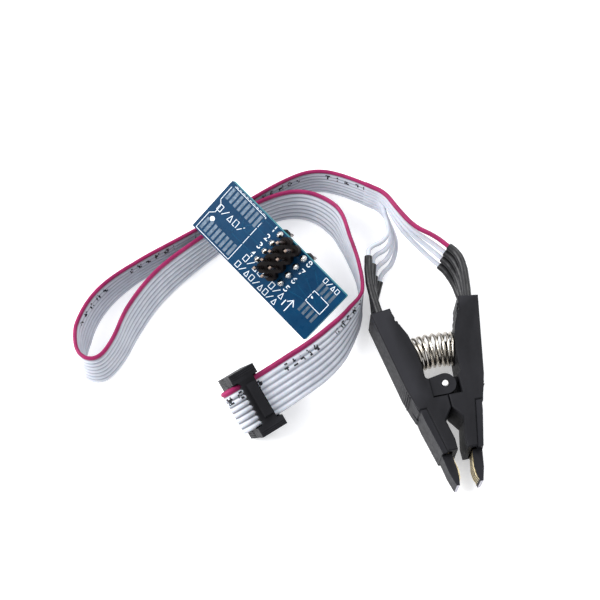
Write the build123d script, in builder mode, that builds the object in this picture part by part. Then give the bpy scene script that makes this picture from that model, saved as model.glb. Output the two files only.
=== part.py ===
from build123d import *

import os
from math import cos, radians, sin, tan

# Lead of a microcontroller programmer: a sprung test clip for 8-lead chips, its 8-way ribbon cable with a
# 2 x 4 ribbon socket, and the loose adapter board that plugs on that socket.
# Millimetres, +Z up. The origin is on the table under the clip's pivot, and Y points away along the clip.

# --- Clip -----------------------------------------------------------------------------------------------
CLIP_TURN = 11.3            # degrees from Y to the clip's middle line, handles to the left
CLIP_THICKNESS = 9.8
TABLE_CLEARANCE = 0.15      # left lever above the table, and below the right lever's top
JAW_GAP = 0.2               # between the jaws' stop faces when the clip is closed
HANDLE_LENGTH = 19.5        # from the pivot to the handle's end
HANDLE_REACH = 12.4         # outer corner of the handle's end from the middle line
HANDLE_WIDTH = 4.6
WAIST_REACH = 8.8           # outer side beside the pivot
INNER_REACH = 4.0           # inner side above the ears
RECESS_REACH = 3.2          # inner side beside the other lever's ears
SHOULDER_REACH = 7.7       # outer side where the cover's step begins
SHOULDER_DROP = 3.2
SEAM_TOP = 5.0              # upper end of the seam between lever and contact carrier
SEAM_TOP_REACH = 5.4
SEAM_END_REACH = 3.3
JAW_LENGTH = 15.1           # from the pivot to the lever's lower end
JAW_OPENING = 1.05          # inner side at the lever's lower end
CAVITY_DEPTH = 2.0
STOP_LENGTH = 2.9
EDGE_CHAMFER = 0.25

# --- Pivot and spring -----------------------------------------------------------------------------------
PIN_DIAMETER = 1.5
PIN_FREE_PLAY = 0.05        # radial, in the left lever's ears
PIN_PRESS_PLAY = 0.01       # radial, in the right lever's ears
EAR_RADIUS = 2.4
EAR_THICKNESS = 1.9
EAR_CLEARANCE = 0.3
SPRING_HEIGHT = 9.7         # spring axis from the pivot
SPRING_DIAMETER = 8.0
SPRING_WIRE = 0.8
SPRING_TURNS = 6.5
POCKET_CLEARANCE = 0.3
POCKET_REACH = 4.9          # floor of the spring's pocket from the middle line
PEG_DIAMETER = 3.0
PEG_LENGTH = 2.2

# --- Contact carriers and contacts ----------------------------------------------------------------------
TIP_LENGTH = 22.3           # from the pivot to the end of the tips
TIP_THICKNESS = 5.2
TIP_REACH = 2.9             # outer corner of the tip's end
COMB_REACH = 1.85           # inner side of the comb
FIT_CLEARANCE = 0.05
CONTACTS = 4
CONTACT_PITCH = 1.27
CONTACT_THICKNESS = 0.3
CONTACT_WIDTH = 0.5
GROOVE_WIDTH = 0.74
CHANNEL_WIDTH = 1.0
TAIL_PITCH = 2.1            # between the contacts' tails at the handle's end
TAIL_HEIGHT = 14.0          # where the contacts spread to the tails' pitch
TAIL_LENGTH = 2.0           # past the handle's end

# --- Sleeves, wires and ribbon --------------------------------------------------------------------------
SLEEVE_DIAMETER = 1.9
SLEEVE_BORE = 1.24
WIRE_DIAMETER = 1.1
WIRE_IN_SLEEVE = 1.2
CONDUCTORS = 8
CONDUCTOR_PITCH = 1.27
RIBBON_THICKNESS = 0.9
ARC_SHARE = 0.45            # of the shorter run, taken by each rounded corner

# --- Socket ---------------------------------------------------------------------------------------------
SOCKET_UP = (0.225, -0.291, 0.930)      # from the mating face to the strain relief
SOCKET_OUT = (0.830, 0.547, -0.030)     # the way the ribbon leaves
SOCKET_PLACE = (-43.65, -2.2)
SOCKET_LENGTH = 14.76
SOCKET_WIDTH = 6.05
HOUSING_HEIGHT = 7.4
COVER_HEIGHT = 3.0
BAR_HEIGHT = 1.5
BAR_WIDTH = 3.6
RIB_HEIGHT = 0.6
ARM_WIDTH = 4.4
ARM_DEPTH = 1.1
ARM_DROP = 7.0
SOCKET_PITCH = 2.54
CAVITY_SIZE = 0.9
SOCKET_CONTACT = 0.6
CONTACT_RECESS = 0.8        # contacts' ends inside the mating face
CONTACT_ROOT = 2.0
KEY_WIDTH = 3.4             # polarising key on the socket's side
KEY_DEPTH = 0.5
KEY_DROP = 1.5
RIB_WIDTH = 2.3             # raised rib on the strain relief's bar
RIB_LENGTH = 8.2
RIB_OFFSET = 0.45
FOLD_REACH = 3.2            # centre of the ribbon's fold from the socket's middle
FOLD_EXIT = 5.0             # end of the flat stretch from the socket's middle

# --- Adapter board --------------------------------------------------------------------------------------
BOARD_PLACE = (-38.79, 28.2, 13.1)      # middle of the upper face
BOARD_ALONG = (0.691, -0.707, -0.152)
BOARD_UP = (-0.27, -0.447, 0.853)
BOARD_LENGTH = 37.0
BOARD_END = 18.5            # lower end from the frame's middle; a longer board grows the other way
BOARD_WIDTH = 14.0
BOARD_THICKNESS = 1.6
PIN_GROUP = (1.95, 2.12)    # middle of the sixteen pins from the board's middle
PIN_PITCH = 2.54
PIN_SIZE = 0.64
PIN_REACH = 6.0             # past the plastic strip
STRIP_HEIGHT = 2.54
PIN_STUB = 1.2              # past the board, through the solder
BOARD_CORNER = 0.3
HOLE_DIAMETER = 1.0
LEG_SPACING = 7.62
SOLDER_HEIGHT = 0.9
SOLDER_RADIUS = 0.85
SOLDER_BORE = 0.94
PAD_THICKNESS = 0.06
WIDE_PADS = (-12.25, 0.0)   # middle of the 16-lead footprint
NARROW_PADS = (14.75, 1.1)  # middle of the 8-lead footprint

# --- Frames of the three things -------------------------------------------------------------------------
CLIP = Plane((0, 0, 0), x_dir=(cos(radians(CLIP_TURN)), sin(radians(CLIP_TURN)), 0), z_dir=(0, 0, 1))
SOCKET_DROP = SOCKET_LENGTH / 2 * 0.363 + SOCKET_WIDTH / 2 * 0.030     # lowest corner below the middle
SOCKET = Plane((*SOCKET_PLACE, SOCKET_DROP), x_dir=SOCKET_OUT, z_dir=SOCKET_UP)
BOARD = Plane(BOARD_PLACE, x_dir=BOARD_ALONG, z_dir=BOARD_UP)

MIDDLE = CLIP_THICKNESS / 2
RIBBON_WIDTH = CONDUCTORS * CONDUCTOR_PITCH
RIGHT = 1
LEFT = -1

# Centre line of a contact from its tip to the place where it spreads, then its tail (right jaw, clip frame).
CONTACT_BLADE = [
    (COMB_REACH + 0.45, 0.6 - TIP_LENGTH),
    (COMB_REACH - 0.05, 1.8 - TIP_LENGTH),
    (COMB_REACH - 0.15, 3.5 - TIP_LENGTH),
    (COMB_REACH + 0.5, 6.8 - TIP_LENGTH),
    (JAW_OPENING + 1.6, 0.1 - JAW_LENGTH),
    (SEAM_TOP_REACH - 1.1, -SEAM_TOP - 4.1),
    (SHOULDER_REACH - 2.35, -SHOULDER_DROP - 0.2),
    (WAIST_REACH - 1.1, 3.0),
    (HANDLE_REACH - HANDLE_WIDTH / 2 - 0.8, TAIL_HEIGHT),
]
TAIL_END = (HANDLE_REACH - HANDLE_WIDTH / 2 + 0.42, HANDLE_LENGTH + TAIL_LENGTH)

# The ribbon on edge: its centre line in plan, from where its conductors part to where it starts to twist.
RIBBON_LOOP = [
    (-15.5, 49.6), (-21.9, 52.8), (-29.0, 53.9), (-36.5, 50.4), (-46.0, 43.9), (-58.5, 36.0),
    (-70.0, 29.0), (-78.3, 21.6), (-82.8, 12.6), (-81.5, 4.0), (-76.0, 2.6), (-72.6, 8.0),
    (-69.6, 17.2), (-63.8, 26.4), (-54.0, 35.2), (-42.5, 44.2), (-32.0, 48.0), (-23.6, 43.8),
    (-20.5, 36.0), (-17.9, 28.5), (-17.3, 22.0), (-19.3, 17.2),
]
# The ribbon's centre while it twists: from on edge to the socket's flat stretch.
RIBBON_TWIST = [(-19.3, 17.2, RIBBON_WIDTH / 2), (-23.3, 10.6, 6.6), (-27.9, 5.2, 9.2), (-32.4, 0.9, 12.0)]

# Sleeves from the handle's end, top one first. Their far ends are where the wires go in.
RIGHT_SLEEVES = [
    [(6.0, 28.0, 8.1), (4.7, 32.0, 8.6), (2.4, 33.9, 8.9)],
    [(5.7, 27.4, 6.1), (4.0, 31.4, 6.8), (1.7, 33.3, 7.05)],
    [(5.4, 26.8, 4.1), (3.3, 30.7, 5.1), (1.2, 32.6, 5.3)],
    [(5.1, 26.0, 2.1), (2.6, 29.9, 3.4), (0.7, 31.6, 3.6)],
]
LEFT_SLEEVES = [
    [(-15.6, 22.6, 8.4), (-16.1, 27.4, 8.8), (-16.0, 31.2, 8.9)],
    [(-15.2, 22.4, 6.2), (-15.3, 26.6, 6.7), (-14.9, 30.2, 6.8)],
    [(-14.9, 22.2, 4.1), (-14.9, 25.2, 4.6), (-14.5, 28.0, 4.9)],
    [(-14.8, 21.8, 2.1), (-14.0, 24.8, 2.5), (-13.2, 27.6, 2.8)],
]
# Wires between their sleeve and the ribbon.
RIGHT_WIRES = [
    [(-0.59, 36.37, 9.29), (-5.2, 38.6, 9.5), (-8.9, 43.3, 9.5), (-11.7, 47.7, 9.525)],
    [(-1.3, 35.78, 7.38), (-5.8, 38.7, 8.1), (-9.1, 43.2, 8.2), (-11.7, 47.7, 8.255)],
    [(-1.46, 35.01, 5.55), (-6.3, 38.8, 6.8), (-9.3, 43.1, 6.9), (-11.7, 47.7, 6.985)],
    [(-1.97, 33.99, 3.88), (-7.0, 38.9, 5.3), (-9.5, 43.0, 5.6), (-11.7, 47.7, 5.715)],
]
LEFT_WIRES = [
    [(-15.9, 33.5, 9.0), (-12.2, 35.4, 8.4), (-10.9, 39.0, 7.0), (-11.4, 43.3, 5.4), (-12.1, 47.9, 4.445)],
    [(-14.6, 32.4, 6.9), (-11.4, 34.3, 6.4), (-10.1, 38.2, 5.4), (-10.8, 43.0, 4.0), (-12.1, 47.9, 3.175)],
    [(-14.0, 30.3, 5.1), (-10.9, 32.9, 4.8), (-9.5, 38.0, 3.9), (-10.2, 42.9, 2.7), (-12.1, 47.9, 1.905)],
    [(-12.6, 29.7, 3.0), (-10.0, 32.2, 2.9), (-8.7, 37.6, 2.2), (-9.7, 42.8, 1.3), (-12.1, 47.9, 0.635)],
]


def save(part, name):
    """Label a finished piece and write it under its node's name."""
    part.label = name
    export_step(part, f"parts/{name}.step")


def mirrored(side, points):
    """Points of the right jaw in the clip's frame, or of the left jaw where side is LEFT."""
    return [(side * x, y) for x, y in points]


def across_plane(side, reach, height):
    """Plane square to the spring's axis, facing outwards, at the clip's half thickness."""
    place = CLIP.from_local_coords(Vector(side * reach, height, MIDDLE))
    return Plane(place, x_dir=CLIP.y_dir, z_dir=CLIP.x_dir * side)


def contact_height(index, pitch):
    """Height of a contact of a row of CONTACTS, the lowest first."""
    return MIDDLE + (index - (CONTACTS - 1) / 2) * pitch


def strip_outline(side, line, width):
    """Closed outline of a strip about a centre line that runs mostly along the clip."""
    inner = [(x - width / 2, y) for x, y in line]
    outer = [(x + width / 2, y) for x, y in reversed(line)]
    return mirrored(side, inner + outer)


def corner_radii(points):
    """Radius of each corner: as large as the shorter of its two runs allows."""
    radii = []
    for before, corner, after in zip(points, points[1:], points[2:]):
        arriving = Vector(corner) - Vector(before)
        leaving = Vector(after) - Vector(corner)
        half_turn = radians(arriving.get_angle(leaving)) / 2
        radii.append(ARC_SHARE * min(arriving.length, leaving.length) / tan(half_turn))
    return radii


def make_tube(points, diameter, bore, name):
    """Round tube or wire through a route of points, with rounded corners."""
    radii = corner_radii(points)
    with BuildPart() as tube:
        with BuildLine() as route:
            FilletPolyline(*points, radius=radii)
        with BuildSketch(Plane(points[0], z_dir=Vector(points[1]) - Vector(points[0]))):
            Circle(diameter / 2)
            if bore:
                Circle(bore / 2, mode=Mode.SUBTRACT)
        sweep(path=route.wires()[0])
    print(name, "length", round(route.wires()[0].length, 1), "radii", [round(r, 1) for r in radii])
    save(tube.part, name)


# --- Levers ---------------------------------------------------------------------------------------------
def lever_outline():
    """Right lever seen from above, from the handle's outer corner down the outer side and back."""
    stop_top = -EAR_RADIUS - EAR_CLEARANCE
    step_y = -SEAM_TOP
    return [
        (HANDLE_REACH, HANDLE_LENGTH - 0.3),
        (WAIST_REACH, 0.5),
        (SHOULDER_REACH, -SHOULDER_DROP),
        (SHOULDER_REACH - 0.65, step_y),
        (SEAM_TOP_REACH, step_y),
        (SEAM_END_REACH, -JAW_LENGTH),
        (JAW_OPENING, -JAW_LENGTH),
        (JAW_OPENING, 2.4 - JAW_LENGTH),
        (CAVITY_DEPTH, stop_top - STOP_LENGTH - 2.7),
        (JAW_GAP / 2, stop_top - STOP_LENGTH),
        (JAW_GAP / 2, stop_top),
        (RECESS_REACH, stop_top),
        (RECESS_REACH, EAR_RADIUS - 0.9),
        (INNER_REACH, EAR_RADIUS - 0.2),
        (INNER_REACH, SPRING_HEIGHT - 4.8),
        (INNER_REACH + 0.4, SPRING_HEIGHT - 1.2),
        (INNER_REACH + 1.3, SPRING_HEIGHT + 3.0),
        (INNER_REACH + 2.5, HANDLE_LENGTH - 4.1),
        (INNER_REACH + 3.3, HANDLE_LENGTH - 2.9),
        (HANDLE_REACH - HANDLE_WIDTH, HANDLE_LENGTH + 0.3),
    ]


def ear_levels(side):
    """Lower faces of a lever's two ears: the right lever's lie between the left lever's."""
    inner_low = MIDDLE - EAR_CLEARANCE - EAR_THICKNESS
    outer_low = inner_low - EAR_CLEARANCE - EAR_THICKNESS
    if side == RIGHT:
        return [inner_low, MIDDLE + EAR_CLEARANCE]
    return [outer_low, MIDDLE + 2 * EAR_CLEARANCE + EAR_THICKNESS]


def make_lever(side, name):
    lift = TABLE_CLEARANCE if side == LEFT else 0
    play = PIN_FREE_PLAY if side == LEFT else PIN_PRESS_PLAY
    outline = mirrored(side, lever_outline())
    ear_foot = [(0.3, EAR_RADIUS - 0.02), (INNER_REACH + 0.4, EAR_RADIUS - 0.8),
                (INNER_REACH + 0.4, -EAR_RADIUS), (0, -EAR_RADIUS)]
    channel = strip_outline(side, CONTACT_BLADE[3:] + [TAIL_END], CHANNEL_WIDTH)
    channel_height = (CONTACTS - 1) * TAIL_PITCH + CHANNEL_WIDTH
    with BuildPart() as lever:
        with BuildSketch(CLIP.offset(lift)):
            with BuildLine():
                Polyline(*outline, close=True)
            make_face()
        extrude(amount=CLIP_THICKNESS - 2 * lift)
        chamfer(lever.faces().filter_by(Axis.Z).edges(), length=EDGE_CHAMFER)
        for level in ear_levels(side):
            with BuildSketch(CLIP.offset(level)):
                Circle(EAR_RADIUS)
                with BuildLine():
                    Polyline(*mirrored(side, ear_foot), close=True)
                make_face()
            extrude(amount=EAR_THICKNESS)
        with BuildSketch(CLIP):
            Circle(PIN_DIAMETER / 2 + play)
        extrude(amount=CLIP_THICKNESS, mode=Mode.SUBTRACT)
        with BuildSketch(across_plane(side, POCKET_REACH, SPRING_HEIGHT)):
            Circle(SPRING_DIAMETER / 2 + POCKET_CLEARANCE)
        extrude(amount=-POCKET_REACH, mode=Mode.SUBTRACT)
        with BuildSketch(across_plane(side, POCKET_REACH, SPRING_HEIGHT)):
            Circle(PEG_DIAMETER / 2)
        extrude(amount=-PEG_LENGTH)
        with BuildSketch(CLIP.offset(MIDDLE - channel_height / 2)):
            with BuildLine():
                Polyline(*channel, close=True)
            make_face()
        extrude(amount=channel_height, mode=Mode.SUBTRACT)
    save(lever.part, name)


def make_pivot_pin():
    with BuildPart() as pin:
        with BuildSketch(CLIP):
            Circle(PIN_DIAMETER / 2)
        extrude(amount=CLIP_THICKNESS - TABLE_CLEARANCE)
        chamfer(pin.edges().filter_by(GeomType.CIRCLE), length=0.15)
    save(pin.part, "pivot_pin")


def make_spring():
    reach = POCKET_REACH - SPRING_WIRE / 2 - FIT_CLEARANCE
    radius = (SPRING_DIAMETER - SPRING_WIRE) / 2
    start = CLIP.from_local_coords(Vector(-reach, SPRING_HEIGHT, MIDDLE))
    with BuildPart() as spring:
        with BuildLine() as coil:
            Helix(pitch=2 * reach / SPRING_TURNS, height=2 * reach, radius=radius,
                  center=start, direction=CLIP.x_dir)
        with BuildSketch(Plane(coil.edges()[0] @ 0, z_dir=coil.edges()[0] % 0)):
            Circle(SPRING_WIRE / 2)
        sweep(path=coil.edges()[0], is_frenet=True)
    save(spring.part, "spring")


# --- Contact carriers and contacts ----------------------------------------------------------------------
def make_carrier(side, name):
    seam_gap = FIT_CLEARANCE
    cover = [
        (SHOULDER_REACH - 0.85, -SEAM_TOP - seam_gap),
        (SHOULDER_REACH - 1.25, -SEAM_TOP - 2.4),
        (SEAM_END_REACH + 1.25, -JAW_LENGTH),
        (SEAM_END_REACH + 1.2, -JAW_LENGTH - seam_gap - 0.2),
        (SEAM_END_REACH + seam_gap, -JAW_LENGTH - seam_gap - 0.2),
        (SEAM_END_REACH + seam_gap, -JAW_LENGTH),
        (SEAM_TOP_REACH + seam_gap, -SEAM_TOP - seam_gap),
    ]
    tip = [
        (SEAM_END_REACH + 1.2, -JAW_LENGTH - seam_gap),
        (TIP_REACH + 0.9, 3.0 - TIP_LENGTH),
        (TIP_REACH, -TIP_LENGTH),
        (COMB_REACH + 0.4, -TIP_LENGTH),
        (COMB_REACH + 0.1, 1.6 - TIP_LENGTH),
        (COMB_REACH, 3.5 - TIP_LENGTH),
        (COMB_REACH + 0.4, 6.8 - TIP_LENGTH),
        (COMB_REACH + 0.7, -JAW_LENGTH - seam_gap),
    ]
    groove_back = [(x + CONTACT_THICKNESS / 2 + FIT_CLEARANCE, y) for x, y in CONTACT_BLADE[:5]]
    groove = groove_back + [(0, 1.0 - JAW_LENGTH), (0, CONTACT_BLADE[0][1])]
    with BuildPart() as carrier:
        with BuildSketch(CLIP.offset(2 * TABLE_CLEARANCE)):
            with BuildLine():
                Polyline(*mirrored(side, cover), close=True)
            make_face()
        extrude(amount=CLIP_THICKNESS - 4 * TABLE_CLEARANCE)
        with BuildSketch(CLIP.offset(MIDDLE - TIP_THICKNESS / 2)):
            with BuildLine():
                Polyline(*mirrored(side, tip), close=True)
            make_face()
        extrude(amount=TIP_THICKNESS)
        for index in range(CONTACTS):
            with BuildSketch(CLIP.offset(contact_height(index, CONTACT_PITCH) - GROOVE_WIDTH / 2)):
                with BuildLine():
                    Polyline(*mirrored(side, groove), close=True)
                make_face()
            extrude(amount=GROOVE_WIDTH, mode=Mode.SUBTRACT)
    save(carrier.part, name)


def make_contact(side, index, name):
    low = contact_height(index, CONTACT_PITCH) - CONTACT_WIDTH / 2
    tail_low = contact_height(index, TAIL_PITCH) - CONTACT_WIDTH / 2
    blade_top = CONTACT_BLADE[-1]
    link = [(blade_top[0] - 0.1, blade_top[1] - 0.6), blade_top]
    with BuildPart() as contact:
        with BuildSketch(CLIP.offset(low)):
            with BuildLine():
                Polyline(*strip_outline(side, CONTACT_BLADE, CONTACT_THICKNESS), close=True)
            make_face()
        extrude(amount=CONTACT_WIDTH)
        with BuildSketch(CLIP.offset(min(low, tail_low))):
            with BuildLine():
                Polyline(*strip_outline(side, link, CONTACT_THICKNESS), close=True)
            make_face()
        extrude(amount=abs(low - tail_low) + CONTACT_WIDTH)
        with BuildSketch(CLIP.offset(tail_low)):
            with BuildLine():
                Polyline(*strip_outline(side, [link[0], TAIL_END], CONTACT_THICKNESS), close=True)
            make_face()
        extrude(amount=CONTACT_WIDTH)
    save(contact.part, name)


# --- Sleeves and wires ----------------------------------------------------------------------------------
def handle_exit(side, index):
    """Middle of a contact's tail on the handle's end, the top contact first."""
    reach = HANDLE_REACH - HANDLE_WIDTH / 2 + 0.15
    height = contact_height(CONTACTS - 1 - index, TAIL_PITCH)
    return CLIP.from_local_coords(Vector(side * reach, HANDLE_LENGTH + 0.25, height))


def make_sleeve(side, index, name):
    bends = RIGHT_SLEEVES[index] if side == RIGHT else LEFT_SLEEVES[index]
    start = handle_exit(side, index)
    make_tube([tuple(start)] + bends, SLEEVE_DIAMETER, SLEEVE_BORE, name)


def make_wire(side, index, name):
    sleeve = RIGHT_SLEEVES[index] if side == RIGHT else LEFT_SLEEVES[index]
    bends = RIGHT_WIRES[index] if side == RIGHT else LEFT_WIRES[index]
    mouth = Vector(sleeve[-1])
    start = mouth - (mouth - Vector(sleeve[-2])).normalized() * WIRE_IN_SLEEVE
    rank = index if side == RIGHT else index + CONTACTS
    height = RIBBON_WIDTH - (rank + 0.5) * CONDUCTOR_PITCH
    make_tube([tuple(start)] + bends + [(*RIBBON_LOOP[0], height)], WIRE_DIAMETER, 0, name)


# --- Ribbon ---------------------------------------------------------------------------------------------
def make_ribbon_cable():
    radii = corner_radii([(x, y, 0) for x, y in RIBBON_LOOP])
    first_run = Vector(*RIBBON_LOOP[1]) - Vector(*RIBBON_LOOP[0])
    start = Plane((*RIBBON_LOOP[0], RIBBON_WIDTH / 2), x_dir=(0, 0, 1), z_dir=first_run)
    with BuildPart() as ribbon:
        with BuildLine(Plane.XY.offset(RIBBON_WIDTH / 2)) as route:
            FilletPolyline(*RIBBON_LOOP, radius=radii)
        with BuildSketch(start):
            Rectangle(RIBBON_WIDTH, RIBBON_THICKNESS)
        sweep(path=route.wires()[0])
    length = route.wires()[0].length
    print("ribbon_cable length", round(length, 1), "radii", [round(r, 1) for r in radii])
    print("ribbon_cable volume", round(ribbon.part.volume, 1),
          "section x length", round(length * RIBBON_WIDTH * RIBBON_THICKNESS, 1))
    save(ribbon.part, "ribbon_cable")


def fold_levels():
    """Heights of the ribbon's two legs at the socket, above its mating face."""
    lower = HOUSING_HEIGHT + RIBBON_THICKNESS / 2 + FIT_CLEARANCE
    upper = lower + RIBBON_THICKNESS + COVER_HEIGHT + 2 * FIT_CLEARANCE
    return lower, upper


def make_ribbon_twist():
    """From on edge to flat in straight-sided steps, each turned a little further than the last."""
    places = [Vector(*place) for place in RIBBON_TWIST]
    places.append(SOCKET.from_local_coords(Vector(FOLD_EXIT, 0, fold_levels()[1])))
    first_way = Vector(*RIBBON_LOOP[-1]) - Vector(*RIBBON_LOOP[-2])
    ways = [first_way] + [after - before for before, after in zip(places, places[2:])] + [-SOCKET.x_dir]
    with BuildPart() as twist:
        for index, (place, way) in enumerate(zip(places, ways)):
            share = index / (len(places) - 1)
            across = Vector(0, 0, 1) * (1 - share) + SOCKET.y_dir * share
            across -= way * (across.dot(way) / way.dot(way))
            with BuildSketch(Plane(place, x_dir=across, z_dir=way)):
                Rectangle(RIBBON_WIDTH, RIBBON_THICKNESS)
        loft(ruled=True)
    save(twist.part, "ribbon_twist")


def make_ribbon_fold():
    lower, upper = fold_levels()
    middle = (lower + upper) / 2
    inner = (upper - lower - RIBBON_THICKNESS) / 2
    outer = inner + RIBBON_THICKNESS
    section = Plane(SOCKET.from_local_coords(Vector(0, -RIBBON_WIDTH / 2, 0)), x_dir=SOCKET.x_dir,
                    z_dir=SOCKET.y_dir * -1)
    with BuildPart() as fold:
        with BuildSketch(section):
            with Locations((-FOLD_REACH, middle)):
                Circle(outer)
                Circle(inner, mode=Mode.SUBTRACT)
            with Locations((-FOLD_REACH, middle)):
                Rectangle(2 * outer, 3 * outer, align=(Align.MIN, Align.CENTER), mode=Mode.SUBTRACT)
            with Locations((-FOLD_REACH, upper)):
                Rectangle(FOLD_REACH + FOLD_EXIT, RIBBON_THICKNESS, align=(Align.MIN, Align.CENTER))
            with Locations((-FOLD_REACH, lower)):
                Rectangle(FOLD_REACH + SOCKET_WIDTH / 2 - 0.3, RIBBON_THICKNESS,
                          align=(Align.MIN, Align.CENTER))
        extrude(amount=-RIBBON_WIDTH)
    save(fold.part, "ribbon_fold")


# --- Socket ---------------------------------------------------------------------------------------------
def socket_grid():
    """The eight cavities: four along the socket, two across."""
    return GridLocations(SOCKET_PITCH, SOCKET_PITCH, 2, 4)


def arm_places():
    """The two ends of the socket, where the strain relief's arms go down."""
    offset = SOCKET_LENGTH / 2 - ARM_DEPTH / 2
    return Locations((0, offset), (0, -offset))


def arm_foot():
    """Height of the arms' lower ends above the mating face."""
    return fold_levels()[1] - ARM_DROP


def arm_slots():
    """Outline of the slots for the arms in the housing and the cover."""
    with BuildSketch(SOCKET.offset(arm_foot() - FIT_CLEARANCE)) as slots:
        with arm_places():
            Rectangle(ARM_WIDTH + 2 * FIT_CLEARANCE, ARM_DEPTH + 2 * FIT_CLEARANCE)
    return slots.sketch


def make_socket_housing():
    with BuildPart() as housing:
        with BuildSketch(SOCKET):
            Rectangle(SOCKET_WIDTH, SOCKET_LENGTH)
        extrude(amount=HOUSING_HEIGHT)
        chamfer(housing.edges().filter_by(lambda edge: SOCKET.to_local_coords(edge.center()).Z < 0.01),
                length=EDGE_CHAMFER)
        with BuildSketch(SOCKET.offset(KEY_DROP)):
            with Locations((SOCKET_WIDTH / 2, 0)):
                Rectangle(2 * KEY_DEPTH, KEY_WIDTH)
        extrude(amount=HOUSING_HEIGHT - KEY_DROP)
        with BuildSketch(SOCKET):
            with socket_grid():
                Rectangle(CAVITY_SIZE, CAVITY_SIZE)
        extrude(amount=HOUSING_HEIGHT, mode=Mode.SUBTRACT)
        extrude(arm_slots(), amount=ARM_DROP + BAR_HEIGHT, mode=Mode.SUBTRACT)
    save(housing.part, "socket_housing")


def make_socket_cover():
    lower, upper = fold_levels()
    bottom = lower + RIBBON_THICKNESS / 2 + FIT_CLEARANCE
    end_length = (SOCKET_LENGTH - RIBBON_WIDTH) / 2 - 2 * FIT_CLEARANCE
    end_place = (SOCKET_LENGTH - end_length) / 2
    with BuildPart() as cover:
        with BuildSketch(SOCKET.offset(bottom)):
            Rectangle(SOCKET_WIDTH, SOCKET_LENGTH)
        extrude(amount=COVER_HEIGHT)
        with BuildSketch(SOCKET.offset(HOUSING_HEIGHT + FIT_CLEARANCE)):
            with Locations((0, end_place), (0, -end_place)):
                Rectangle(SOCKET_WIDTH, end_length)
        extrude(amount=bottom - HOUSING_HEIGHT)
        extrude(arm_slots(), amount=ARM_DROP + BAR_HEIGHT, mode=Mode.SUBTRACT)
    save(cover.part, "socket_cover")


def make_strain_relief():
    top_level = fold_levels()[1] + RIBBON_THICKNESS / 2 + FIT_CLEARANCE
    cover_top = fold_levels()[1] - RIBBON_THICKNESS / 2
    end_length = (SOCKET_LENGTH - RIBBON_WIDTH) / 2 - 2 * FIT_CLEARANCE
    end_place = (SOCKET_LENGTH - end_length) / 2
    with BuildPart() as relief:
        with BuildSketch(SOCKET.offset(top_level)):
            Rectangle(BAR_WIDTH, SOCKET_LENGTH)
            with Locations((-BAR_WIDTH / 2 - 0.1, 0)):
                with GridLocations(0, CONDUCTOR_PITCH, 1, CONDUCTORS):
                    Circle(CONDUCTOR_PITCH * 0.36, mode=Mode.SUBTRACT)
        extrude(amount=BAR_HEIGHT)
        with BuildSketch(SOCKET.offset(cover_top)):
            with Locations((0, end_place), (0, -end_place)):
                Rectangle(SOCKET_WIDTH, end_length)
        extrude(amount=top_level - cover_top + BAR_HEIGHT)
        with BuildSketch(SOCKET.offset(top_level + BAR_HEIGHT)):
            with Locations((RIB_OFFSET, 0)):
                Rectangle(RIB_WIDTH, RIB_LENGTH)
        extrude(amount=RIB_HEIGHT, taper=25)
        with BuildSketch(SOCKET.offset(arm_foot())):
            with arm_places():
                Rectangle(ARM_WIDTH, ARM_DEPTH)
        extrude(amount=ARM_DROP)
    save(relief.part, "strain_relief")


def make_socket_contacts():
    with BuildPart() as contacts:
        with BuildSketch(SOCKET.offset(CONTACT_RECESS)):
            with socket_grid():
                Rectangle(SOCKET_CONTACT, SOCKET_CONTACT)
                Rectangle(SOCKET_CONTACT, SOCKET_CONTACT / 3, mode=Mode.SUBTRACT)
        extrude(amount=HOUSING_HEIGHT - CONTACT_RECESS - CONTACT_ROOT)
        with BuildSketch(SOCKET.offset(HOUSING_HEIGHT - CONTACT_ROOT)):
            with socket_grid():
                Rectangle(SOCKET_CONTACT, SOCKET_CONTACT)
        extrude(amount=CONTACT_ROOT)
    save(contacts.part, "socket_contacts")


# --- Adapter board --------------------------------------------------------------------------------------
def header_grid():
    """Places of the eight header pins on the board: four across it, two along it."""
    return GridLocations(PIN_PITCH, PIN_PITCH, 2, 4)


def leg_grid():
    """Places of the eight leg pins on the board: two rows of four."""
    return GridLocations(LEG_SPACING, PIN_PITCH, 2, 4)


def make_adapter_board():
    with BuildPart() as board:
        with BuildSketch(BOARD):
            with Locations((BOARD_END - BOARD_LENGTH / 2, 0)):
                RectangleRounded(BOARD_LENGTH, BOARD_WIDTH, BOARD_CORNER)
            with Locations(PIN_GROUP):
                with header_grid():
                    Circle(HOLE_DIAMETER / 2, mode=Mode.SUBTRACT)
                with leg_grid():
                    Circle(HOLE_DIAMETER / 2, mode=Mode.SUBTRACT)
        extrude(amount=-BOARD_THICKNESS)
    save(board.part, "adapter_board")


def make_strip(name, level, offset, columns):
    """Black plastic strip of a pin header: its lower face, its place along the board, its pin columns."""
    with BuildPart() as strip:
        with BuildSketch(BOARD.offset(level)):
            with Locations((PIN_GROUP[0] + offset, PIN_GROUP[1])):
                with GridLocations(PIN_PITCH, PIN_PITCH, columns, 4):
                    RegularPolygon(PIN_PITCH / 2, 8, major_radius=False, rotation=22.5)
        extrude(amount=STRIP_HEIGHT)
        with BuildSketch(BOARD.offset(level)):
            with Locations((PIN_GROUP[0] + offset, PIN_GROUP[1])):
                with GridLocations(PIN_PITCH, PIN_PITCH, columns, 4):
                    Rectangle(PIN_SIZE + 2 * PIN_PRESS_PLAY, PIN_SIZE + 2 * PIN_PRESS_PLAY)
        extrude(amount=STRIP_HEIGHT, mode=Mode.SUBTRACT)
    save(strip.part, name)


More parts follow.
